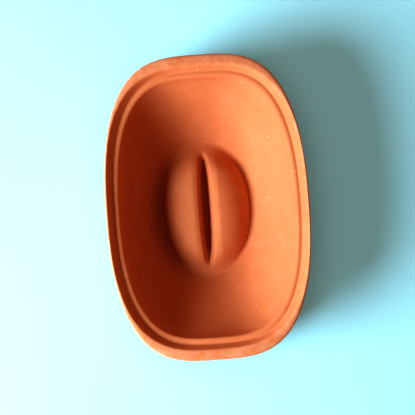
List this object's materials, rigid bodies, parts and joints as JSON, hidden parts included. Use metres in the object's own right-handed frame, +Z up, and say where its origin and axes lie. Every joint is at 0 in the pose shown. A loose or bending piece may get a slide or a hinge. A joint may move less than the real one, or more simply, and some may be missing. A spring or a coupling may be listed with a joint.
{
  "type": "butter crock",
  "caption": "Unglazed clay butter crock: oval base with a raised lip and a deep lid with finger recesses and a grip ridge, the lid put away upside down in the base.",
  "frame": {"origin": "centre of the base's flat foot, on the surface that the crock stands on", "axes": "+Z up, +Y along the crock's length, +X across its width"},
  "size_m": [0.125, 0.188, 0.0633],
  "materials": {
    "terracotta": "matt, unglazed, fine grained"
  },
  "bodies": {
    "base": {"base": "terracotta"},
    "lid": {"lid": "terracotta"}
  },
  "joints": [
    {"name": "lid_lift", "type": "slide", "parent": "base", "child": "lid", "axis": [0, 0, 1], "range_m": [0, 0.09]}
  ]
}
